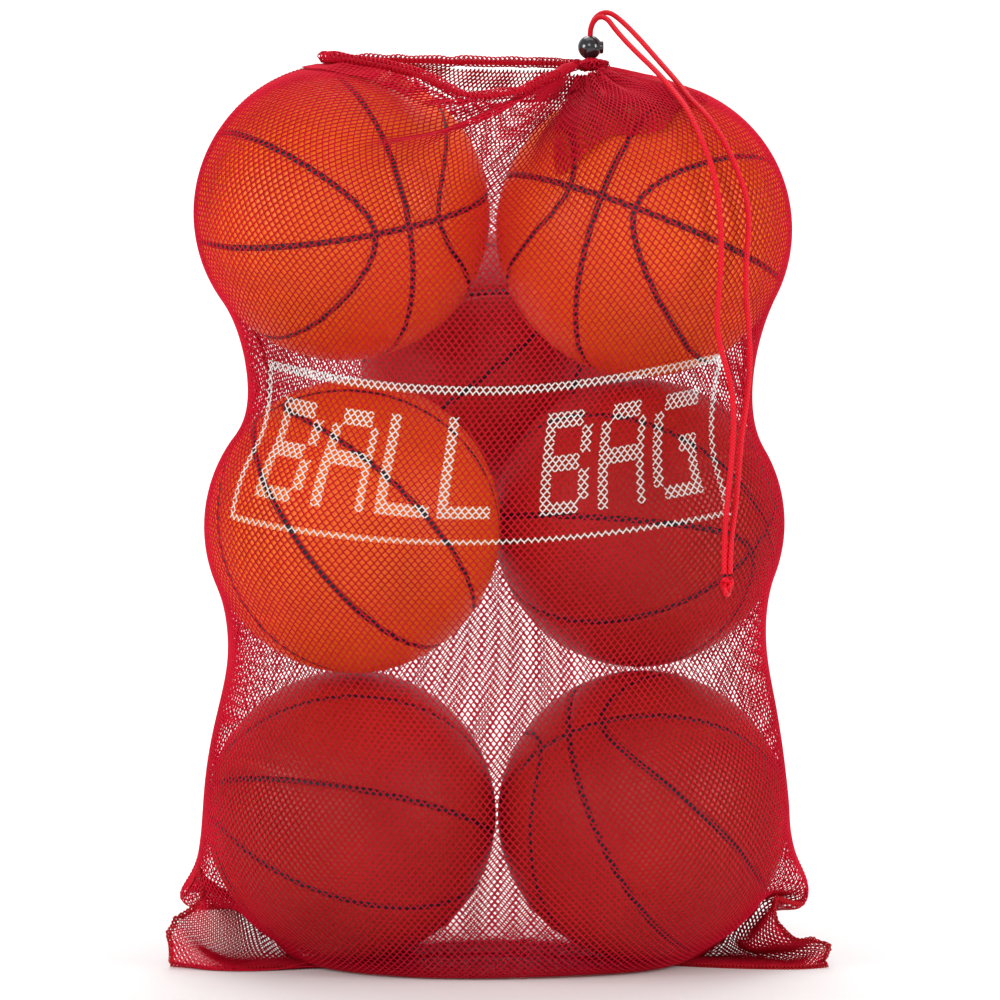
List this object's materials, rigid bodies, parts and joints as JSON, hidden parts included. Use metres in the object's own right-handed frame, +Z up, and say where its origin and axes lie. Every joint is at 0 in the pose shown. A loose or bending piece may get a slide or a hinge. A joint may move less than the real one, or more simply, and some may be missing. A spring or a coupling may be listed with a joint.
{
  "type": "mesh ball bag",
  "caption": "Knitted mesh drawstring bag standing full of basketballs, with hemmed mouth, drawcord, round cord lock, side and bottom seams and loose bottom corners.",
  "frame": {"origin": "on the ground, in the middle of the flat base that the bag stands on", "axes": "+Z up, +X to the right of someone who faces the printed front, -Y the front"},
  "size_m": [0.5471, 0.4851, 0.7963],
  "materials": {
    "net": "matte",
    "seam": "matte",
    "hem": "matte",
    "cord": "satin",
    "cord_end": "satin",
    "lock": "gloss",
    "plunger": "gloss",
    "spring": "satin",
    "cover_orange": "satin",
    "cover_brick": "satin",
    "rib": "matte",
    "carcass": "matte",
    "bladder": "matte",
    "valve": "matte"
  },
  "bodies": {
    "bag": {"front_net": "net", "back_net": "net", "left_side_seam": "seam", "right_side_seam": "seam", "bottom_seam": "seam", "hem": "hem", "hem_cord": "cord", "cord_left": "cord", "cord_right": "cord", "cord_end": "cord_end"},
    "lock": {"lock_body": "lock", "lock_spring": "spring"},
    "plunger": {"lock_plunger": "plunger"},
    "ball_low_left": {"ball_low_left_cover": "cover_brick", "ball_low_left_ribs": "rib", "ball_low_left_carcass": "carcass", "ball_low_left_bladder": "bladder", "ball_low_left_valve": "valve"},
    "ball_low_right": {"ball_low_right_cover": "cover_brick", "ball_low_right_ribs": "rib", "ball_low_right_carcass": "carcass", "ball_low_right_bladder": "bladder", "ball_low_right_valve": "valve"},
    "ball_mid_left": {"ball_mid_left_cover": "cover_orange", "ball_mid_left_ribs": "rib", "ball_mid_left_carcass": "carcass", "ball_mid_left_bladder": "bladder", "ball_mid_left_valve": "valve"},
    "ball_mid_right": {"ball_mid_right_cover": "cover_brick", "ball_mid_right_ribs": "rib", "ball_mid_right_carcass": "carcass", "ball_mid_right_bladder": "bladder", "ball_mid_right_valve": "valve"},
    "ball_top_left": {"ball_top_left_cover": "cover_orange", "ball_top_left_ribs": "rib", "ball_top_left_carcass": "carcass", "ball_top_left_bladder": "bladder", "ball_top_left_valve": "valve"},
    "ball_top_right": {"ball_top_right_cover": "cover_orange", "ball_top_right_ribs": "rib", "ball_top_right_carcass": "carcass", "ball_top_right_bladder": "bladder", "ball_top_right_valve": "valve"},
    "ball_back": {"ball_back_cover": "cover_brick", "ball_back_ribs": "rib", "ball_back_carcass": "carcass", "ball_back_bladder": "bladder", "ball_back_valve": "valve"}
  },
  "joints": [
    {"name": "lock_slide", "type": "slide", "parent": "bag", "child": "lock", "axis": [0, 0, 1], "range_m": [0, 0.003]},
    {"name": "lock_press", "type": "slide", "parent": "lock", "child": "plunger", "axis": [-1, 0, 0], "range_m": [0, 0.0023], "stiffness_N_per_m": 400, "springref_m": -0.002, "deforming": ["lock_spring"]},
    {"name": "ball_low_left_turn", "type": "hinge", "parent": "bag", "child": "ball_low_left", "pos_m": [-0.12, 0.028, 0.1253], "axis": [0, 0, 1], "continuous": true},
    {"name": "ball_low_right_turn", "type": "hinge", "parent": "bag", "child": "ball_low_right", "pos_m": [0.1245, 0.028, 0.1253], "axis": [0, 0, 1], "continuous": true},
    {"name": "ball_mid_left_turn", "type": "hinge", "parent": "bag", "child": "ball_mid_left", "pos_m": [-0.116, -0.014, 0.3703], "axis": [0, 0, 1], "continuous": true},
    {"name": "ball_mid_right_turn", "type": "hinge", "parent": "bag", "child": "ball_mid_right", "pos_m": [0.121, 0.046, 0.3703], "axis": [0, 0, 1], "continuous": true},
    {"name": "ball_top_left_turn", "type": "hinge", "parent": "bag", "child": "ball_top_left", "pos_m": [-0.125, 0, 0.6288], "axis": [0, 0, 1], "continuous": true},
    {"name": "ball_top_right_turn", "type": "hinge", "parent": "bag", "child": "ball_top_right", "pos_m": [0.123, 0, 0.6153], "axis": [0, 0, 1], "continuous": true},
    {"name": "ball_back_turn", "type": "hinge", "parent": "bag", "child": "ball_back", "pos_m": [0.003, 0.21951, 0.4958], "axis": [0, 0, 1], "continuous": true}
  ]
}
